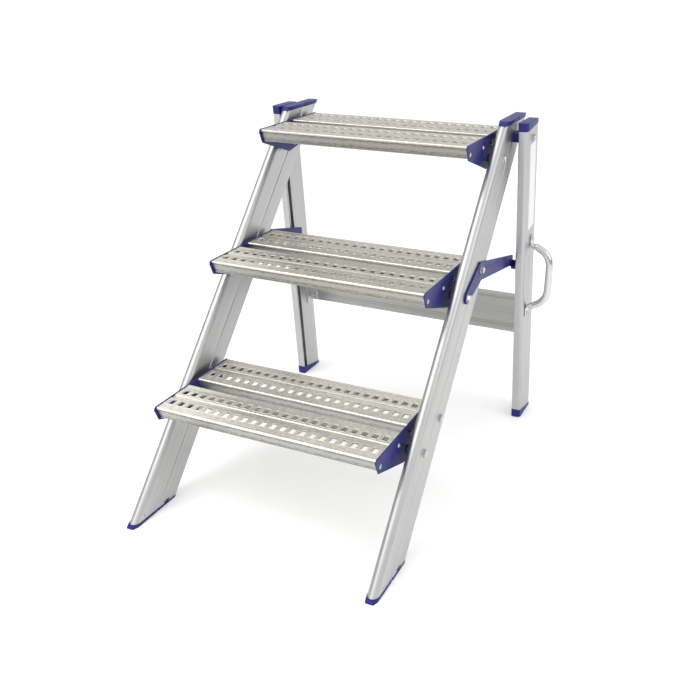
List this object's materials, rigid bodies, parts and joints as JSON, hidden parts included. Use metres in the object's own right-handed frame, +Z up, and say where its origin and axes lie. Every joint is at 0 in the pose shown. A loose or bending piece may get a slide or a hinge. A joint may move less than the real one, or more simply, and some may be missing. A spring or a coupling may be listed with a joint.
{
  "type": "step ladder",
  "caption": "Folding aluminium step ladder: deep perforated treads between sloping stiles, with a rear frame that folds forward, side stays and a carry handle.",
  "frame": {"origin": "middle of the footprint box, on the floor", "axes": "+X to the right of a person facing the steps, +Y to the rear, +Z up"},
  "size_m": [0.6934, 0.8704, 0.7465],
  "materials": {
    "profile_aluminium": "satin anodised extrusion",
    "tread_aluminium": "ribbed mill-finish extrusion",
    "blue_coated_metal": "blue powder coat, satin",
    "blue_plastic": "moulded blue plastic, satin",
    "zinc_steel": "zinc plated",
    "chrome": "polished",
    "label_film": "blank white film"
  },
  "bodies": {
    "front_frame": {"left_stile": "profile_aluminium", "right_stile": "profile_aluminium", "left_stile_cap": "blue_plastic", "right_stile_cap": "blue_plastic", "left_stile_foot": "blue_plastic", "right_stile_foot": "blue_plastic", "stile_end_rivets": "zinc_steel", "bottom_tread_front_plank": "tread_aluminium", "bottom_tread_rear_plank": "tread_aluminium", "middle_tread_front_plank": "tread_aluminium", "middle_tread_rear_plank": "tread_aluminium", "top_tread_front_plank": "tread_aluminium", "top_tread_rear_plank": "tread_aluminium", "bottom_left_bracket": "blue_coated_metal", "bottom_right_bracket": "blue_coated_metal", "middle_left_bracket": "blue_coated_metal", "middle_right_bracket": "blue_coated_metal", "top_left_bracket": "blue_coated_metal", "top_right_bracket": "blue_coated_metal", "bottom_bracket_rivets": "zinc_steel", "middle_bracket_rivets": "zinc_steel", "top_bracket_rivets": "zinc_steel", "bottom_spacer_tubes": "zinc_steel", "middle_spacer_tubes": "zinc_steel", "top_spacer_tubes": "zinc_steel", "bottom_tread_bolts": "zinc_steel", "middle_tread_bolts": "zinc_steel", "top_tread_bolts": "zinc_steel", "bottom_tread_nuts": "zinc_steel", "middle_tread_nuts": "zinc_steel", "top_tread_nuts": "zinc_steel", "left_stay": "blue_coated_metal", "right_stay": "blue_coated_metal", "left_hinge_block": "blue_plastic", "right_hinge_block": "blue_plastic", "hinge_bolts": "zinc_steel", "hinge_nuts": "zinc_steel"},
    "rear_frame": {"left_rear_leg": "profile_aluminium", "right_rear_leg": "profile_aluminium", "left_leg_cap": "blue_plastic", "right_leg_cap": "blue_plastic", "left_leg_foot": "blue_plastic", "right_leg_foot": "blue_plastic", "crossbar": "tread_aluminium", "left_crossbar_cleat": "profile_aluminium", "right_crossbar_cleat": "profile_aluminium", "cleat_rivets": "zinc_steel", "crossbar_rivets": "zinc_steel", "left_stop_stud": "blue_plastic", "right_stop_stud": "blue_plastic", "carry_handle": "chrome", "handle_screws": "zinc_steel", "blank_label": "label_film"}
  },
  "joints": [
    {"name": "rear_frame_fold", "type": "hinge", "parent": "front_frame", "child": "rear_frame", "pos_m": [0, 0.31102, 0.7055], "axis": [-1, 0, 0], "range_deg": [0, 49]}
  ]
}
